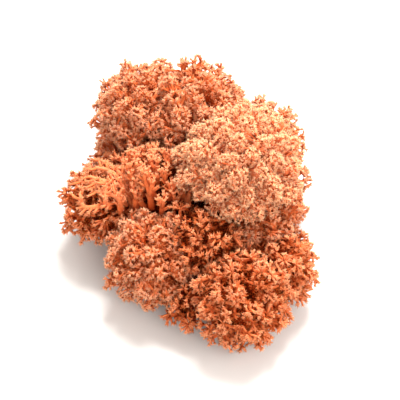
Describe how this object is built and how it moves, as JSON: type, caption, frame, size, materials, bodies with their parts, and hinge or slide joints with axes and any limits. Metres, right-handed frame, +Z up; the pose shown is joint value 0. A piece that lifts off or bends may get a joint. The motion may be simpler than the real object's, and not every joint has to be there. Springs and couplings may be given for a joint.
{
  "type": "reindeer moss clump",
  "caption": "Irregular cushion of dyed reindeer lichen: domed heads of short branchlets, pressed together on forked stalks with trimmed flat ends.",
  "frame": {"origin": "middle of the trimmed flat end of the tallest podetium's stalk, on the plane that the clump rests on", "axes": "+Z up, away from the resting plane; -Y towards the viewer of the picture, who looks down from about 53 degrees; +X to that viewer's right"},
  "size_m": [0.0853, 0.0976, 0.0616],
  "materials": {
    "lichen_pale": "matt, dyed pale salmon orange",
    "lichen": "matt, dyed salmon orange",
    "lichen_deep": "matt, dyed deep orange"
  },
  "bodies": {
    "root": {"podetium_crown": "lichen_pale", "podetium_middle": "lichen_deep", "podetium_back": "lichen", "podetium_back_left": "lichen", "podetium_back_right": "lichen", "podetium_right": "lichen", "podetium_front_middle": "lichen_deep", "podetium_front": "lichen_deep", "podetium_front_left": "lichen", "podetium_front_right": "lichen_deep", "podetium_left": "lichen_deep", "podetium_low_front": "lichen_deep", "podetium_low_back_left": "lichen", "podetium_low_back": "lichen", "podetium_low_back_right": "lichen"}
  },
  "joints": []
}
